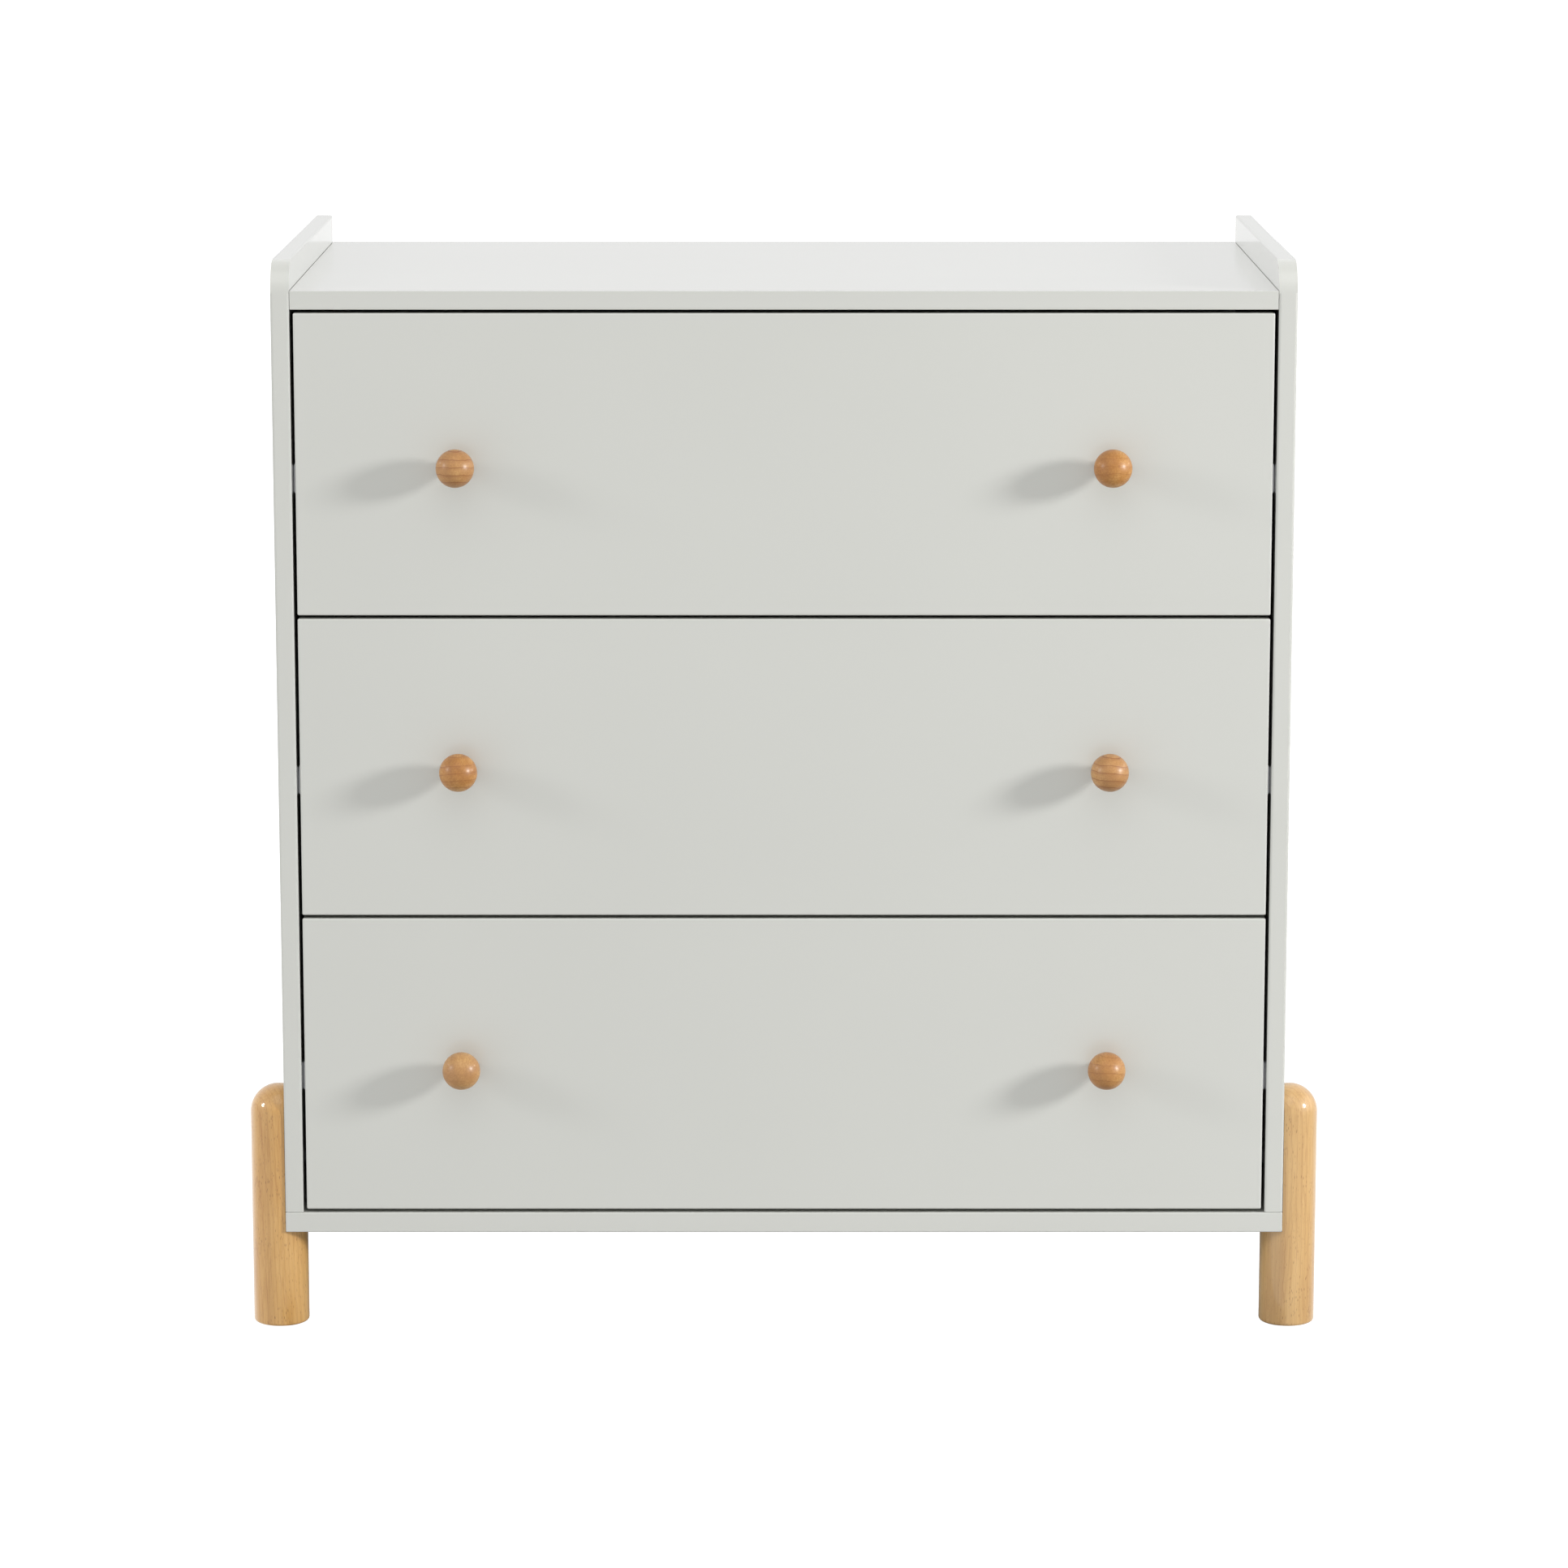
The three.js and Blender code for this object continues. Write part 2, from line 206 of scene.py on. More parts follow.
def carve(obj, cutter_mesh):
    """Cuts a bmesh out of an object and keeps the result as its mesh."""
    cutter = new_object("cutter", cutter_mesh, obj.data.materials[0])
    cut = obj.modifiers.new("cut", "BOOLEAN")
    cut.operation = "DIFFERENCE"
    cut.solver = "EXACT"
    cut.object = cutter
    result = bpy.data.meshes.new_from_object(
        obj.evaluated_get(bpy.context.evaluated_depsgraph_get()))
    obj.modifiers.clear()
    obj.data = result
    obj.data.shade_smooth()
    obj.data.set_sharp_from_angle(angle=SHARP_ANGLE)
    bpy.data.objects.remove(cutter)


# ---------------------------------------------------------------- materials


class Recipe:
    """A material in the making: a Principled shader and the texture nodes that feed it."""

    def __init__(self, name, **sockets):
        self.material = bpy.data.materials.new(name)
        self.material.use_nodes = True
        self.tree = self.material.node_tree
        self.shader = self.tree.nodes["Principled BSDF"]
        self.coordinates = self.tree.nodes.new("ShaderNodeTexCoord").outputs["Object"]
        self.fill(self.shader, {key.replace("_", " "): value for key, value in sockets.items()})

    def fill(self, node, sockets):
        """Sets a node's inputs, or links them where the value is another node's output."""
        for key, value in sockets.items():
            if isinstance(value, bpy.types.NodeSocket):
                self.tree.links.new(value, node.inputs[key])
            else:
                node.inputs[key].default_value = value

    def add(self, kind, sockets, output=0, **settings):
        """A new texture node's output, or the whole node where the output is None."""
        node = self.tree.nodes.new("ShaderNode" + kind)
        for key, value in settings.items():
            setattr(node, key, value)
        self.fill(node, sockets)
        return node if output is None else node.outputs[output]

    def local(self, origin, rotation):
        """Coordinates measured from an origin, along turned axes."""
        return self.add("Mapping", {
            "Vector": self.coordinates, "Location": origin, "Rotation": rotation},
            vector_type="TEXTURE")

    def stretched(self, vector, scale):
        return self.add("Mapping", {"Vector": vector, "Scale": scale})

    def noise(self, vector, scale, detail=2.0, roughness=0.5):
        return self.add("TexNoise", {
            "Vector": vector, "Scale": scale, "Detail": detail, "Roughness": roughness})

    def span(self, value, low, high, from_low=0.0, from_high=1.0):
        """A value's range stretched and shifted to low up to high."""
        return self.add("MapRange", {
            "Value": value, "From Min": from_low, "From Max": from_high,
            "To Min": low, "To Max": high})

    def maths(self, operation, a, b):
        return self.add("Math", {0: a, 1: b}, operation=operation)

    def dashes(self, vector, cells, chance):
        """Scattered short strokes, one in some of the stretched cells."""
        cell = self.add("TexVoronoi", {"Vector": self.stretched(vector, cells), "Scale": 1.0},
                        output=None)
        body = self.span(cell.outputs["Distance"], 1.0, 0.0, 0.1, 0.36)
        shown = self.span(cell.outputs["Color"], 0.0, 1.0, chance - 0.03, chance + 0.03)
        return self.maths("MULTIPLY", body, shown)

    def ramp(self, value, stops):
        node = self.tree.nodes.new("ShaderNodeValToRGB")
        self.fill(node, {"Fac": value})
        elements = node.color_ramp.elements
        while len(elements) < len(stops):
            elements.new(0.5)
        for element, (position, colour) in zip(elements, stops):
            element.position = position
            element.color = (*colour, 1)
        return node.outputs["Color"]

    def blend(self, factor, first, second, mode="MIX"):
        node = self.tree.nodes.new("ShaderNodeMix")
        node.data_type = "RGBA"
        node.blend_type = mode
        self.fill(node, {0: factor})
        for index, colour in ((6, first), (7, second)):
            is_socket = isinstance(colour, bpy.types.NodeSocket)
            self.fill(node, {index: colour if is_socket else (*colour, 1)})
        return node.outputs[2]

    def finish(self, colour, roughness, height=None, relief=0.0, strength=1.0):
        """Joins the colour, the roughness and any relief to the shader."""
        self.fill(self.shader, {"Base Color": colour, "Roughness": roughness})
        if height is not None:
            bump = self.add("Bump", {"Height": height, "Distance": relief, "Strength": strength})
            self.fill(self.shader, {"Normal": bump})
        return self.material


def scaled(colour, factor):
    return tuple(min(1.0, channel * factor) for channel in colour)


def mixed(first, second, share):
    return tuple(a + (b - a) * share for a, b in zip(first, second))


def paint(name, colour):
    """Sprayed satin paint under a clear coat, with slow changes of tone and sheen."""
    recipe = Recipe(name, IOR=1.5, Coat_Weight=1.0, Coat_Roughness=0.09, Coat_IOR=1.5)
    tone = recipe.noise(recipe.coordinates, 3.0, detail=3.0)
    sheen = recipe.noise(recipe.coordinates, 9.0, detail=1.0)
    return recipe.finish(
        colour=recipe.ramp(tone, [(0.3, scaled(colour, 0.985)), (0.7, scaled(colour, 1.01))]),
        roughness=recipe.span(sheen, 0.31, 0.35))


def laminate(name, colour):
    """Melamine-faced board: a fine pebble relief and a dull sheen."""
    recipe = Recipe(name, IOR=1.5)
    pebble = recipe.noise(recipe.coordinates, 900.0, detail=1.0)
    tone = recipe.noise(recipe.coordinates, 5.0, detail=4.0)
    return recipe.finish(
        colour=recipe.ramp(tone, [(0.3, scaled(colour, 0.97)), (0.7, scaled(colour, 1.01))]),
        roughness=recipe.span(pebble, 0.42, 0.56),
        height=pebble, relief=0.08 * MM, strength=0.5)


def hardboard(name, colour):
    """Thin faced hardboard: short fibres show through the facing."""
    recipe = Recipe(name, IOR=1.48)
    fibres = recipe.noise(recipe.stretched(recipe.coordinates, (1, 1, 2.5)), 260.0, detail=5.0)
    tone = recipe.noise(recipe.coordinates, 40.0, detail=4.0)
    mottled = recipe.ramp(tone, [(0.3, scaled(colour, 0.985)), (0.7, scaled(colour, 1.01))])
    speckled = recipe.ramp(fibres, [(0.38, (0.95, 0.95, 0.95)), (0.5, (1, 1, 1))])
    return recipe.finish(
        colour=recipe.blend(1.0, mottled, speckled, "MULTIPLY"),
        roughness=recipe.span(fibres, 0.5, 0.66),
        height=fibres, relief=0.1 * MM, strength=0.5)


def wood(name, species, origin, rotation, pith, figure, paleness):
    """Lacquered hardwood. The grain runs along local Z, and the rings lie round a far pith.

    The figure says how strongly the rings show, and the paleness how far it goes to pale wood: real
    tone on the knobs, painted sheen on the right legs.
    """
    dark, mid, light = (mixed(species[tone], SAPWOOD_AND_SHEEN, paleness) for tone in ("dark", "mid", "light"))
    recipe = Recipe(name, IOR=1.5, Coat_Weight=species["coat"],
                    Coat_Roughness=species["coat_roughness"], Coat_IOR=species["coat_ior"])
    local = recipe.local(origin, rotation)
    sway = recipe.add("TexNoise", {
        "Vector": recipe.stretched(local, (1, 1, 0.25)), "Scale": 24.0, "Detail": 2.0},
        output="Color")
    offset = recipe.add("VectorMath", {0: sway, "Scale": species["sway"]}, operation="SCALE")
    swayed = recipe.add("VectorMath", {0: local, 1: offset}, operation="ADD")
    rings = recipe.add("TexWave", {
        "Vector": recipe.add("VectorMath", {0: swayed, 1: pith}, operation="ADD"),
        "Scale": WAVE_LENGTH / species["ring"], "Distortion": 1.5, "Detail": 2.0,
        "Detail Scale": 1.5},
        output="Fac", wave_type="RINGS", rings_direction="Z", wave_profile="SAW")
    late_wood = recipe.ramp(rings, [(0.5, (0, 0, 0)), (0.86, (0.25, 0.25, 0.25)),
                                    (0.93, (1, 1, 1)), (1.0, (0, 0, 0))])
    fibres = recipe.noise(
        recipe.stretched(swayed, (700, 700, 18)), 1.0, detail=3.0, roughness=0.6)
    patches = recipe.noise(recipe.stretched(swayed, (55, 55, 8)), 1.0, detail=3.0)
    tone = recipe.maths("ADD", recipe.maths("MULTIPLY", fibres, 0.4),
                        recipe.maths("MULTIPLY", patches, 0.6))
    streaks = recipe.dashes(swayed, (560, 560, 34), 0.62)
    pores = recipe.dashes(swayed, (930, 930, 190), 0.55)
    pore_patch = recipe.span(recipe.noise(swayed, 26.0, detail=1.0), 0.25, 1.0, 0.42, 0.6)
    patchy_pores = recipe.maths("MULTIPLY", pores, pore_patch)

    base = recipe.ramp(tone, [(0.34, dark), (0.5, mid), (0.66, light)])
    deep = (dark[0] * 0.7, dark[1] * 0.5, dark[2] * 0.42)
    ringed = recipe.blend(recipe.maths("MULTIPLY", late_wood, figure), base, deep)
    streaked = recipe.blend(recipe.maths("MULTIPLY", streaks, species["streak"]), ringed, deep)
    porous = recipe.blend(recipe.maths("MULTIPLY", patchy_pores, species["pore"]), streaked,
                          scaled(deep, 0.6))
    relief = recipe.maths("SUBTRACT", recipe.maths("MULTIPLY", fibres, 0.3), patchy_pores)
    return recipe.finish(
        colour=porous, roughness=recipe.span(tone, 0.5, 0.44),
        height=relief, relief=0.04 * MM, strength=0.5)


def steel(name, colour, low, high, streaks):
    """Plated steel with rolling streaks and a slightly uneven sheen."""
    recipe = Recipe(name, Metallic=1.0)
    rolled = recipe.noise(recipe.stretched(recipe.coordinates, streaks), 1.0, detail=4.0)
    cloudy = recipe.noise(recipe.coordinates, 90.0, detail=3.0)
    return recipe.finish(
        colour=recipe.ramp(cloudy, [(0.3, scaled(colour, 0.88)), (0.7, scaled(colour, 1.06))]),
        roughness=recipe.span(rolled, low, high),
        height=rolled, relief=0.02 * MM, strength=0.4)


CARCASS_WHITE = (0.63, 0.636, 0.596)
BOX_WHITE = (0.63, 0.628, 0.605)
THIN_WHITE = (0.62, 0.613, 0.585)
# Pale wood that the paleness mixes towards: real tone on the knobs, painted sheen on the right legs
SAPWOOD_AND_SHEEN = (0.64, 0.55, 0.36)
# A wave texture at scale 1 repeats after this length.
WAVE_LENGTH = 2 * math.pi / 20
LEG_SPECIES = {
    "dark": (0.53, 0.262, 0.06), "mid": (0.64, 0.352, 0.098), "light": (0.72, 0.427, 0.145),
    "ring": 4.2 * MM, "sway": 7 * MM, "streak": 0.35, "pore": 0.85,
    "coat": 1.0, "coat_roughness": 0.1, "coat_ior": 1.62}
KNOB_SPECIES = {
    "dark": (0.38, 0.15, 0.03), "mid": (0.467, 0.202, 0.044), "light": (0.6, 0.315, 0.09),
    "ring": 6.5 * MM, "sway": 4 * MM, "streak": 0.25, "pore": 0.5,
    "coat": 0.3, "coat_roughness": 0.25, "coat_ior": 1.5}
# How strongly the rings show and how pale the wood is, on the left and the right leg; the right legs'
# paleness is a painted sheen of the key light from the right
LEG_LOOKS = ((0.38, 0.0), (0.38, 0.2))
# The same for the left and the right knob of each drawer
KNOB_LOOKS = {
    "lower": ((0.12, 0.14), (0.5, 0.06)),
    "middle": ((0.6, 0.02), (1.0, 0.12)),
    "upper": ((1.0, 0.12), (0.4, 0.0))}

carcass_paint = paint("carcass_paint", CARCASS_WHITE)
front_paint = paint("front_paint", CARCASS_WHITE)
box_board = laminate("box_board", BOX_WHITE)
thin_board = hardboard("thin_board", THIN_WHITE)
slide_steel = steel("slide_steel", (0.62, 0.63, 0.65), 0.29, 0.4, (900, 12, 900))
retainer_steel = steel("retainer_steel", (0.5, 0.51, 0.53), 0.29, 0.36, (700, 30, 700))
bolt_steel = steel("bolt_steel", (0.045, 0.045, 0.05), 0.3, 0.45, (500, 500, 500))
fastener_steel = steel("fastener_steel", (0.58, 0.59, 0.6), 0.29, 0.38, (500, 500, 500))


# ---------------------------------------------------------------- carcass


def side_panel(side):
    """Upright board with a round front top corner and eased edges above its foot."""
    node = f"side_panel_{side}"
    low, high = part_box(node)
    outline = [(low.y, low.z)]
    outline += arc(low.y + CORNER_RADIUS, high.z - CORNER_RADIUS, CORNER_RADIUS, 180, 90, 20)
    outline += [(high.y, high.z), (high.y, low.z)]
    upright = Matrix(((0, 0, 1, low.x), (1, 0, 0, 0), (0, 1, 0, 0), (0, 0, 0, 1)))
    bm = bmesh.new()
    prism(bm, outline, upright, high.x - low.x)
    standing_on = low.z + MM
    rim = [e for e in bm.edges
           if abs(e.verts[0].co.x - e.verts[1].co.x) < MM
           and max(v.co.z for v in e.verts) > standing_on]
    rear = [e for e in bm.edges
            if abs(e.verts[0].co.x - e.verts[1].co.x) > MM
            and all(v.co.y > high.y - MM and v.co.z > high.z - MM for v in e.verts)]
    ease_edges(bm, rim + rear, PANEL_EASE, 5)
    panel = new_object(f"{node}_board", bm, carcass_paint)
    flatten_faces(panel)
    settle(panel, "carcass", "carcass_paint", node)


def plain_board(node, body, slot, material, ease, segments=4):
    """A board the size of its node's box, with eased edges."""
    board = new_object(f"{node}_board", eased_block(*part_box(node), ease, segments), material)
    flatten_faces(board)
    settle(board, body, slot, node)


def leg(place, index):
    """Domed round leg with a notch for the side panel and the bottom panel."""
    node = f"leg_{place}"
    low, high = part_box(node)
    panel_low, panel_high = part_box("bottom_panel")
    radius = (high.y - low.y) / 2
    sign = -1 if place.endswith("left") else 1
    centre = Vector((sign * (max(abs(low.x), abs(high.x)) - radius), (low.y + high.y) / 2, 0))
    profile = [(0, 0)]
    profile += arc(radius - FOOT_FILLET, FOOT_FILLET, FOOT_FILLET, -90, 0, 6)
    profile += [(radius, share * high.z) for share in (0.25, 0.4, 0.55, 0.7)]
    profile += arc(0, high.z - radius, radius, 0, 84, 16) + [(0, high.z)]
    # Each leg is cut from its own stretch of the log, a little askew to the grain.
    origin = (centre.x, centre.y, 0.3 * index)
    rotation = (math.radians(2.5 - index), math.radians(1.2 * index - 2), 0.9 * index)
    pith = (0.05, 0.03 - 0.02 * index, 0)
    # The right legs get a paler colour, a painted sheen of the key light from the right.
    material = wood(
        f"leg_wood_{place}", LEG_SPECIES, origin, rotation, pith, *LEG_LOOKS[index % 2])
    bm = bmesh.new()
    lathe(bm, profile, Matrix.Translation(centre), 72)
    post = new_object(f"{node}_turned", bm, material)
    seam = abs(low.z) + 0.3 * MM
    face = sign * (panel_high.x + seam)
    notch_low = Vector((min(face, face - sign * 2 * radius), low.y - radius, panel_low.z - seam))
    notch_high = Vector((max(face, face - sign * 2 * radius), high.y + radius, high.z + radius))
    notch = bmesh.new()
    bmesh.ops.create_cube(notch, size=1)
    bmesh.ops.scale(notch, vec=notch_high - notch_low, verts=notch.verts)
    bmesh.ops.translate(notch, vec=(notch_low + notch_high) / 2, verts=notch.verts)
    carve(post, notch)
    settle(post, "carcass", "leg_wood", node)


def socket_head(bm, base, direction, diameter, rise):
    """Low furniture bolt head with a hexagon socket."""
    radius = diameter / 2
    rim = 0.8 * MM
    key = 2.5 * MM
    profile = [(0, 0), (radius, 0), (radius, rise - rim)]
    profile += arc(radius - rim, rise - rim, rim, 15, 90, 4)
    profile += [(key + 0.4 * MM, rise), (key, rise - 0.3 * MM), (key, rise * 0.3), (0, rise * 0.25)]
    lathe(bm, profile, Matrix.Translation(base) @ facing(direction), 36)


def leg_bolt(place):
    """Bolt from inside through the side panel into the leg, with a threaded shank."""
    node = f"leg_bolt_{place}"
    low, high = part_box(node)
    sign = -1 if place.endswith("left") else 1
    y, z = (low.y + high.y) / 2, (low.z + high.z) / 2
    head_side = min(abs(low.x), abs(high.x))
    far_side = max(abs(low.x), abs(high.x))
    rise = 3 * MM
    under_head = Vector((sign * (head_side + rise), y, z))
    bm = bmesh.new()
    socket_head(bm, under_head, (-sign, 0, 0), high.y - low.y, rise)
    shank = far_side - head_side - rise
    turns = int(shank / BOLT_THREAD_PITCH)
    root_radius = BOLT_THREAD_RADIUS - 0.55 * MM
    tip_radius = BOLT_THREAD_RADIUS - 0.8 * MM
    profile = [(0, 0)]
    for i in range(turns):
        along = shank * i / turns
        profile += [(root_radius, along), (BOLT_THREAD_RADIUS, along + shank / turns / 2)]
    profile += [(tip_radius, shank), (0, shank)]
    lathe(bm, profile, Matrix.Translation(under_head) @ facing((sign, 0, 0)), 24)
    settle(new_object(f"{node}_socket", bm, bolt_steel), "carcass", "fastener_steel", node)


# ---------------------------------------------------------------- drawers


def cross_head(bm, base, direction, diameter, rise):
    """Domed screw head with a sunk centre for the driver."""
    radius = diameter / 2
    ball = (radius * radius + rise * rise) / (2 * rise)
    reach = math.degrees(math.asin(radius / ball))
    sunk = radius * 0.34
    dome = [(r, h) for r, h in arc(0, rise - ball, ball, 90 - reach, 90, 8) if r > sunk]
    profile = [(0, -0.2 * MM), (radius, -0.2 * MM), *dome]
    profile += [(sunk, dome[-1][1]), (sunk * 0.6, rise * 0.35), (0, rise * 0.25)]
    lathe(bm, profile, Matrix.Translation(base) @ facing(direction), 24)


def knob(name, side, index):
    """Turned ball on a short neck. The growth rings cross the ball as nearly level lines."""
    node = f"drawer_{name}_knob_{side}"
    low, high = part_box(node)
    radius = (high.x - low.x) / 2
    neck = 6.5 * MM
    out = (high.y - low.y) - radius
    neck_angle = math.degrees(math.acos(neck / radius))
    profile = [(0, 0), (neck + 0.7 * MM, 0), (neck + 0.2 * MM, 1.2 * MM)]
    profile += arc(0, out, radius, -neck_angle, 86, 26) + [(0, out + radius)]
    base = Vector(((low.x + high.x) / 2, high.y, (low.z + high.z) / 2))
    bm = bmesh.new()
    lathe(bm, profile, Matrix.Translation(base) @ facing((0, -1, 0)), 56)
    # Each knob is cut from its own stretch of the log, with the rings tilted to one side.
    origin = base + Vector((0, 0.3 * index, 0))
    rotation = (math.pi / 2, math.radians(6 * math.sin(2.4 * index)), 0)
    pith = (0, 0.055 + 0.006 * index, 0)
    material = wood(
        f"knob_wood_{name}_{side}", KNOB_SPECIES, origin, rotation, pith,
        *KNOB_LOOKS[name][index % 2])
    ball = new_object(f"{node}_turned", bm, material)
    settle(ball, f"drawer_{name}", "knob_wood", node)


def knob_screw(name, side):
    """Screw from inside the drawer front into the knob."""
    node = f"drawer_{name}_knob_screw_{side}"
    low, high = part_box(node)
    x, z = (low.x + high.x) / 2, (low.z + high.z) / 2
    head = 2.5 * MM
    under_head = Vector((x, high.y - head, z))
    bm = bmesh.new()
    cross_head(bm, under_head, (0, 1, 0), high.x - low.x, head)
    length = under_head.y - low.y
    lathe(bm, [(0, 0), (2 * MM, 0), (2 * MM, length - MM), (0, length)],
          Matrix.Translation(under_head) @ facing((0, -1, 0)), 20)
    screw = new_object(f"{node}_head", bm, fastener_steel)
    settle(screw, f"drawer_{name}", "fastener_steel", node)


def cam_disc(bm, base, direction):
    """Face of a cam fitting: a low disc with a raised rim and a driver slot's dip."""
    radius = CAM_DIAMETER / 2
    profile = [(0, -MM), (radius, -MM), (radius, 0.25 * MM), (radius - 0.5 * MM, 0.5 * MM),
               (radius - 1.4 * MM, 0.5 * MM), (radius - 1.8 * MM, 0.1 * MM),
               (2.6 * MM, 0.1 * MM), (2 * MM, -0.6 * MM), (0, -0.8 * MM)]
    lathe(bm, profile, Matrix.Translation(base) @ facing(direction), 32)


def drawer_fittings(name):
    """Cam fittings behind the front and screws into the box back, on the outer faces of the sides."""
    bm = bmesh.new()
    for side, sign in SIDES:
        low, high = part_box(f"drawer_{name}_side_{side}")
        outer = high.x if sign > 0 else low.x
        for height in (low.z + CAM_FROM_EDGE, high.z - CAM_FROM_EDGE):
            cam_disc(bm, Vector((outer, low.y + CAM_FROM_FRONT, height)), (sign, 0, 0))
            cross_head(bm, Vector((outer, high.y - BOX_SCREW_FROM_REAR, height)), (sign, 0, 0),
                       SCREW_HEAD_DIAMETER, BOX_SCREW_RISE)
    fittings = new_object(f"drawer_{name}_fittings", bm, fastener_steel)
    settle(fittings, f"drawer_{name}", "fastener_steel")


# ---------------------------------------------------------------- slides


def sheet_section(path, thickness):
    """Outline of a bent strip: a path of (x, y) points, made thick to both sides."""
    sides = ([], [])
    for i, (x, y) in enumerate(path):
        before, after = path[max(i - 1, 0)], path[min(i + 1, len(path) - 1)]
        along = Vector((after[0] - before[0], after[1] - before[1])).normalized()
        across = Vector((-along.y, along.x)) * thickness / 2
        sides[0].append((x + across.x, y + across.y))
        sides[1].append((x - across.x, y - across.y))
    return sides[0] + sides[1][::-1]


def channel_path(web, tip, half_height, bend, lip=0.0):
    """Centre line of a channel: web at x = web, flanges to x = tip, with lips turned inwards."""
    way = 1 if tip > web else -1
    corner = web + way * bend
    points = [(tip, -half_height)]
    if lip:
        points = [(tip, lip - half_height)] + [
            (tip + way * (math.cos(math.radians(a)) - 1) * bend, -half_height + bend
             + bend * math.sin(math.radians(a))) for a in (0, -30, -60, -90)]
    points += [(corner - way * bend * math.sin(math.radians(a)),
                -half_height + bend - bend * math.cos(math.radians(a))) for a in (0, 30, 60, 90)]
    return points + [(x, -y) for x, y in reversed(points)]


def slide_strip(bm, node, sign, path, thickness):
    """Extrudes a section along the node's own length, at its own side panel.

    It returns the node's box and the height of its middle, for what is fixed to the strip.
    """
    low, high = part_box(node)
    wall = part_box("side_panel_right")[0].x
    z = (low.z + high.z) / 2
    section = sheet_section(path, thickness)
    placed = [(sign * (wall - x), y + z) for x, y in section]
    along = Matrix(((1, 0, 0, 0), (0, 0, 1, low.y), (0, 1, 0, 0), (0, 0, 0, 1)))
    prism(bm, placed, along, high.y - low.y)
    return low, high, z


def slide(name, side, sign):
    """Cabinet member with its screws, ball retainer with two rows of balls, drawer member.

    Distances across the slide are measured from the side panel.
    """
    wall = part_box("side_panel_right")[0].x
    half_sheet = SLIDE_SHEET / 2

    node = f"slide_{name}_{side}_cabinet_member"
    bm = bmesh.new()
    path = channel_path(
        web=0.3 * MM + half_sheet, tip=8.8 * MM - half_sheet, half_height=13.5 * MM - half_sheet,
        bend=2.2 * MM, lip=3.0 * MM)
    low, high, z = slide_strip(bm, node, sign, path, SLIDE_SHEET)
    for share in (0.09, 0.5, 0.91):
        base = Vector((sign * (wall - 1.5 * MM), low.y + share * (high.y - low.y), z))
        cross_head(bm, base, (-sign, 0, 0), 6.4 * MM, 0.25 * MM)
    settle(new_object(f"{node}_rolled", bm, slide_steel), "carcass", "slide_steel", node)

    node = f"slide_{name}_{side}_ball_retainer"
    body = f"retainer_{name}_{side}"
    bm = bmesh.new()
    path = channel_path(
        web=1.8 * MM + RETAINER_SHEET / 2, tip=7.0 * MM, half_height=11 * MM - RETAINER_SHEET / 2,
        bend=1.2 * MM)
    low, high, z = slide_strip(bm, node, sign, path, RETAINER_SHEET)
    settle(new_object(f"{node}_pressed", bm, retainer_steel), body, "retainer_steel", node)
    balls = bmesh.new()
    for row in (-1, 1):
        for i in range(BALLS_PER_ROW):
            y = low.y + (high.y - low.y) * (i + 0.5) / BALLS_PER_ROW
            centre = Vector((sign * (wall - BALL_FROM_WALL), y, z + row * BALL_ROW_HEIGHT))
            bmesh.ops.create_uvsphere(
                balls, u_segments=16, v_segments=10, radius=BALL_DIAMETER / 2,
                matrix=Matrix.Translation(centre))
    settle(new_object(f"slide_{name}_{side}_balls", balls, retainer_steel), body, "retainer_steel")

    node = f"slide_{name}_{side}_drawer_member"
    bm = bmesh.new()
    path = channel_path(
        web=10.7 * MM - half_sheet, tip=3.2 * MM, half_height=9 * MM - half_sheet, bend=1.8 * MM)
    low, high, z = slide_strip(bm, node, sign, path, SLIDE_SHEET)
    for share in (0.06, 0.5, 0.94):
        base = Vector((sign * (wall - 9.5 * MM), low.y + share * (high.y - low.y), z))
        cross_head(bm, base, (sign, 0, 0), SCREW_HEAD_DIAMETER, SCREW_HEAD_RISE)
    settle(new_object(f"{node}_rolled", bm, slide_steel), f"drawer_{name}", "slide_steel", node)


# ---------------------------------------------------------------- the whole object

for side, _ in SIDES:
    side_panel(side)
plain_board("top_panel", "carcass", "carcass_paint", carcass_paint, BOARD_EASE)
plain_board("bottom_panel", "carcass", "carcass_paint", carcass_paint, BOTTOM_EASE)
plain_board("back_panel", "carcass", "thin_board", thin_board, THIN_EASE, 2)
for index, place in enumerate(f"{end}_{side}" for end in ENDS for side, _ in SIDES):
    leg(place, index)
    leg_bolt(place)

for level, name in enumerate(DRAWERS):
    body = f"drawer_{name}"
    plain_board(f"{body}_front", body, "drawer_front_paint", front_paint, FRONT_EASE, 5)
    plain_board(f"{body}_back", body, "drawer_box_board", box_board, BOX_EASE, 2)
    plain_board(f"{body}_bottom_panel", body, "thin_board", thin_board, THIN_EASE, 2)
    drawer_fittings(name)
    for side, sign in SIDES:
        plain_board(f"{body}_side_{side}", body, "drawer_box_board", box_board, BOX_EASE, 2)
        knob(name, side, 2 * level + (sign > 0))
        knob_screw(name, side)
        slide(name, side, sign)


# ---------------------------------------------------------------- studio


def sheet(name, low_x, low_y, high_x, high_y, height, material):
    """A level rectangle of the studio, which isn't part of the object."""
    bm = bmesh.new()
    corners = [bm.verts.new((x, y, height))
               for x, y in ((low_x, low_y), (high_x, low_y), (high_x, high_y), (low_x, high_y))]
    bm.faces.new(corners)
    obj = new_object(name, bm, material)
    return obj


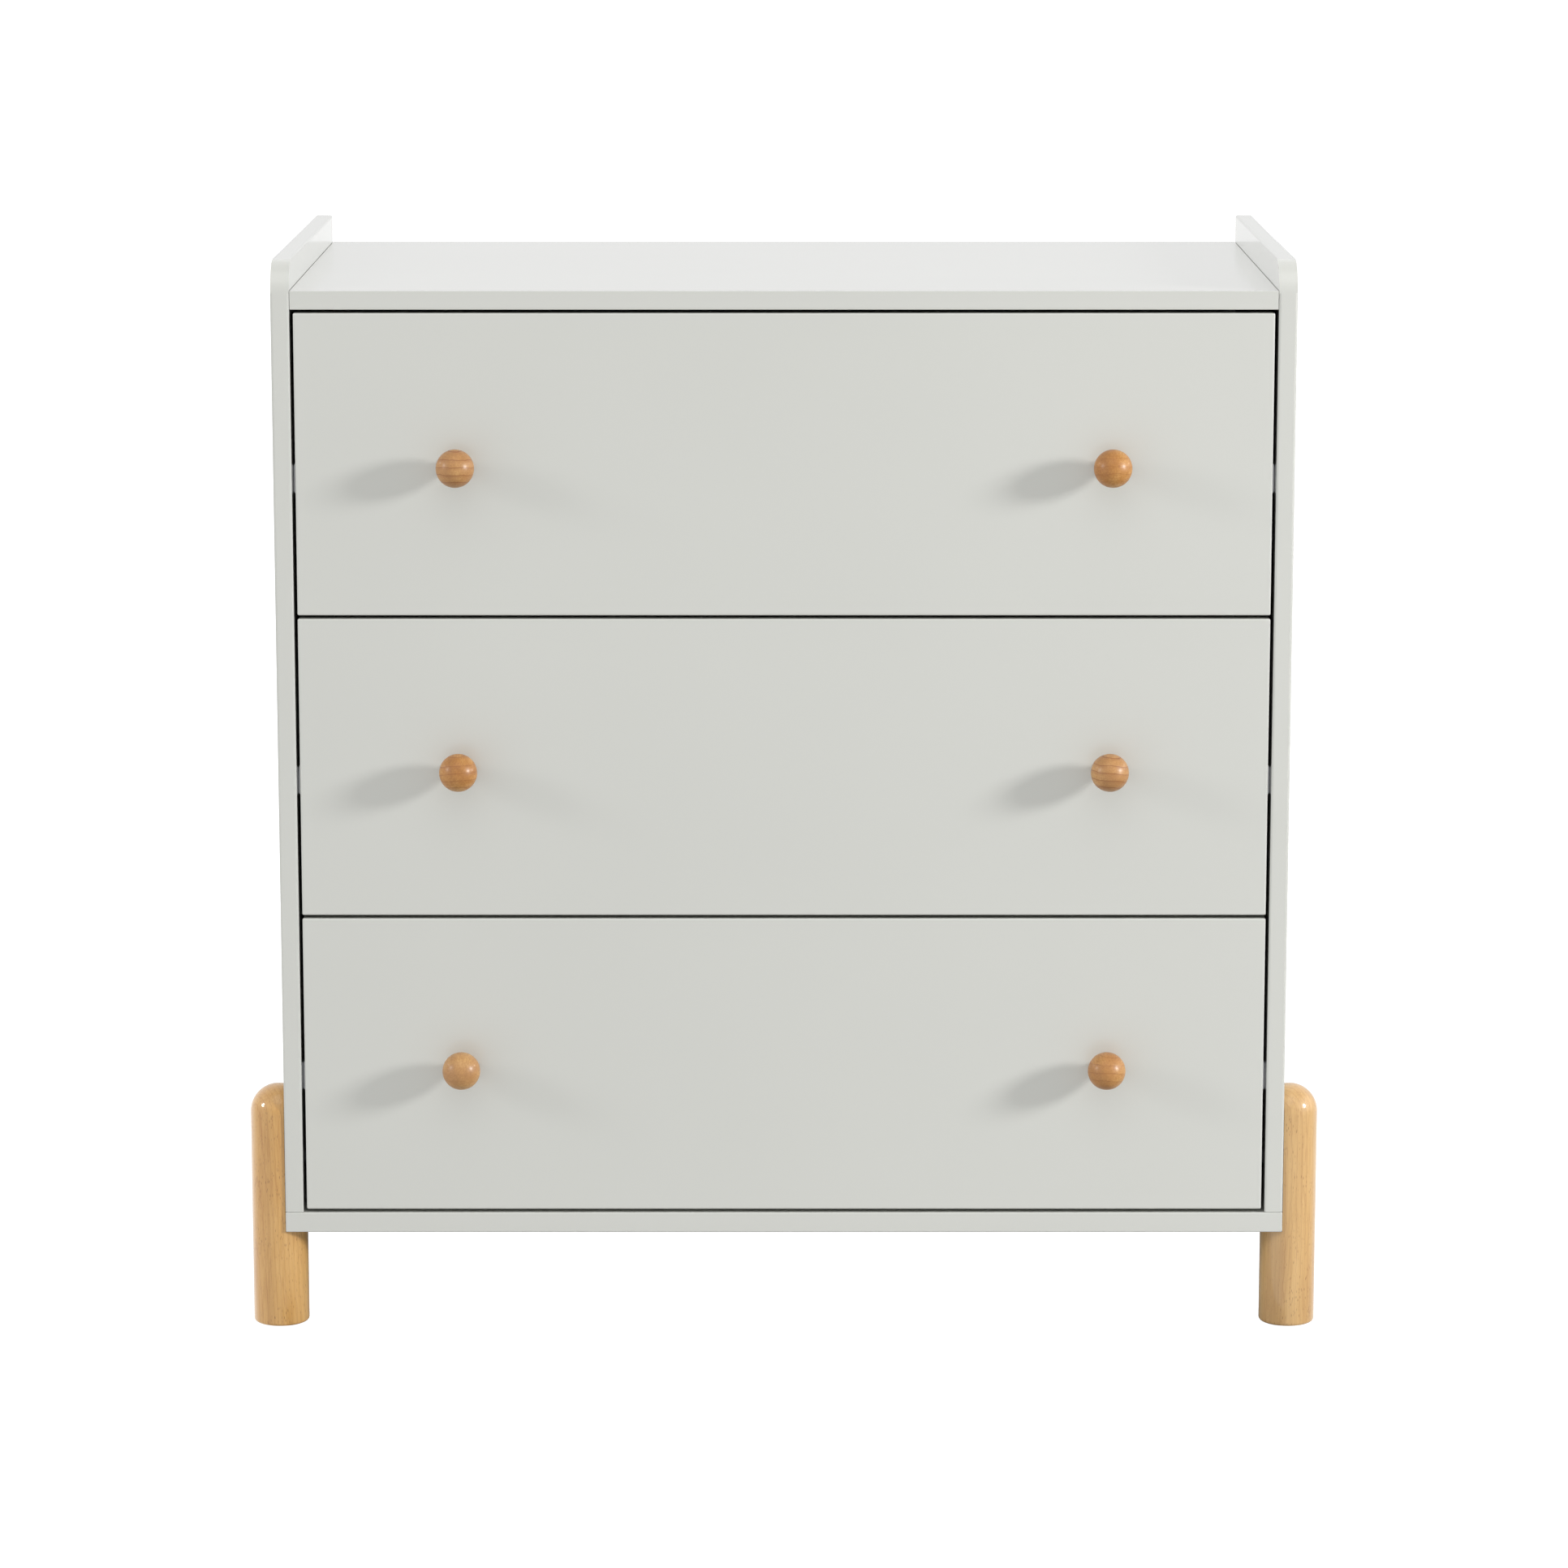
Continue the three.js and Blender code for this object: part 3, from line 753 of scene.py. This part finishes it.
def pale_floor():
    """White floor. Its own bounce is left out, and the surround's light from below stands for it."""
    half = FLOOR_SIZE / 2
    recipe = Recipe("studio_floor", Roughness=0.8)
    recipe.fill(recipe.shader, {
        "Base Color": FLOOR_GREY, "Emission Color": (1, 1, 1, 1), "Emission Strength": FLOOR_GLOW})
    floor = sheet("studio_floor", -half, -half, half, half, FLOOR_LEVEL, recipe.material)
    floor.visible_diffuse = False
    floor.visible_glossy = False
    floor.visible_shadow = False


def shaded_floor():
    """A dark grey sheet under the carcass, unseen by the camera, standing in for the floor's shade
    there. It keeps the light from below off the legs.
    """
    low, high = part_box("bottom_panel")
    recipe = Recipe("shaded_floor", Roughness=0.8)
    recipe.fill(recipe.shader, {"Base Color": FLOOR_GREY})
    patch = sheet("shaded_floor", low.x, low.y - SHADE_REACH, high.x, high.y + SHADE_REACH,
                  SHADE_LEVEL, recipe.material)
    patch.visible_camera = False


def surround():
    """White surround, seen at full white. It lights more from behind and above than from the front."""
    world = bpy.data.worlds.new("surround")
    bpy.context.scene.world = world
    world.use_nodes = True
    nodes = world.node_tree.nodes
    links = world.node_tree.links

    def maths(operation, a, b):
        node = nodes.new("ShaderNodeMath")
        node.operation = operation
        for index, value in enumerate((a, b)):
            if isinstance(value, bpy.types.NodeSocket):
                links.new(value, node.inputs[index])
            else:
                node.inputs[index].default_value = value
        return node.outputs[0]

    def span(value, from_low, from_high, low, high):
        node = nodes.new("ShaderNodeMapRange")
        links.new(value, node.inputs["Value"])
        limits = {"From Min": from_low, "From Max": from_high, "To Min": low, "To Max": high}
        for name, limit in limits.items():
            node.inputs[name].default_value = limit
        return node.outputs["Result"]

    axes = nodes.new("ShaderNodeSeparateXYZ")
    links.new(nodes.new("ShaderNodeTexCoord").outputs["Generated"], axes.inputs[0])
    light = span(axes.outputs["Z"], -0.05, 0.05, GROUND_LIGHT, ROUND_LIGHT)
    for axis, start, end, strength in (("Z", 0.1, 1, ZENITH_LIGHT), ("Y", -0.1, -1, FRONT_LIGHT),
                                       ("Y", 0.1, 0.8, BACK_LIGHT), ("X", -0.2, -1, LEFT_LIGHT)):
        light = maths("ADD", light, span(axes.outputs[axis], start, end, 0, strength))
    seen = nodes.new("ShaderNodeLightPath").outputs["Is Camera Ray"]
    links.new(maths("MAXIMUM", light, seen), nodes["Background"].inputs["Strength"])
    nodes["Background"].inputs["Color"].default_value = (1, 1, 1, 1)


def soft_light(name, direction, distance, size, watts):
    """A round soft light that shines at the middle of the object."""
    middle = (cad_low + cad_high) / 2
    towards = Vector(direction).normalized()
    data = bpy.data.lights.new(name, "AREA")
    data.shape = "DISK"
    data.size = size
    data.energy = watts
    lamp = bpy.data.objects.new(name, data)
    lamp.matrix_world = Matrix.Translation(middle + towards * distance) @ facing(towards)
    bpy.context.scene.collection.objects.link(lamp)


def camera():
    """The photograph's view, tilted down a little, without shift or depth of field."""
    data = bpy.data.cameras.new("camera")
    data.lens = CAMERA_LENS
    data.sensor_width = CAMERA_SENSOR
    data.clip_end = 200
    eye = bpy.data.objects.new("camera", data)
    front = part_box("drawer_middle_front")[0].y
    eye.location = (0, front - CAMERA_DISTANCE, CAMERA_HEIGHT)
    eye.rotation_euler = (math.pi / 2 - CAMERA_PITCH, 0, 0)
    bpy.context.scene.collection.objects.link(eye)
    bpy.context.scene.camera = eye


pale_floor()
shaded_floor()
surround()
soft_light("key_right", (0.875, -0.397, 0.276), 5.2, 0.92, 185)
soft_light("rim_right", (0.97, 0.05, 0.25), 4.0, 3.0, 14)
soft_light("spot_left", (-0.90, -0.32, 0.33), 8.0, 1.8, 115)
soft_light("overhead_front", (0.0, -0.55, 0.83), 8.0, 6.4, 50)
camera()
bpy.context.scene.view_settings.view_transform = "Standard"
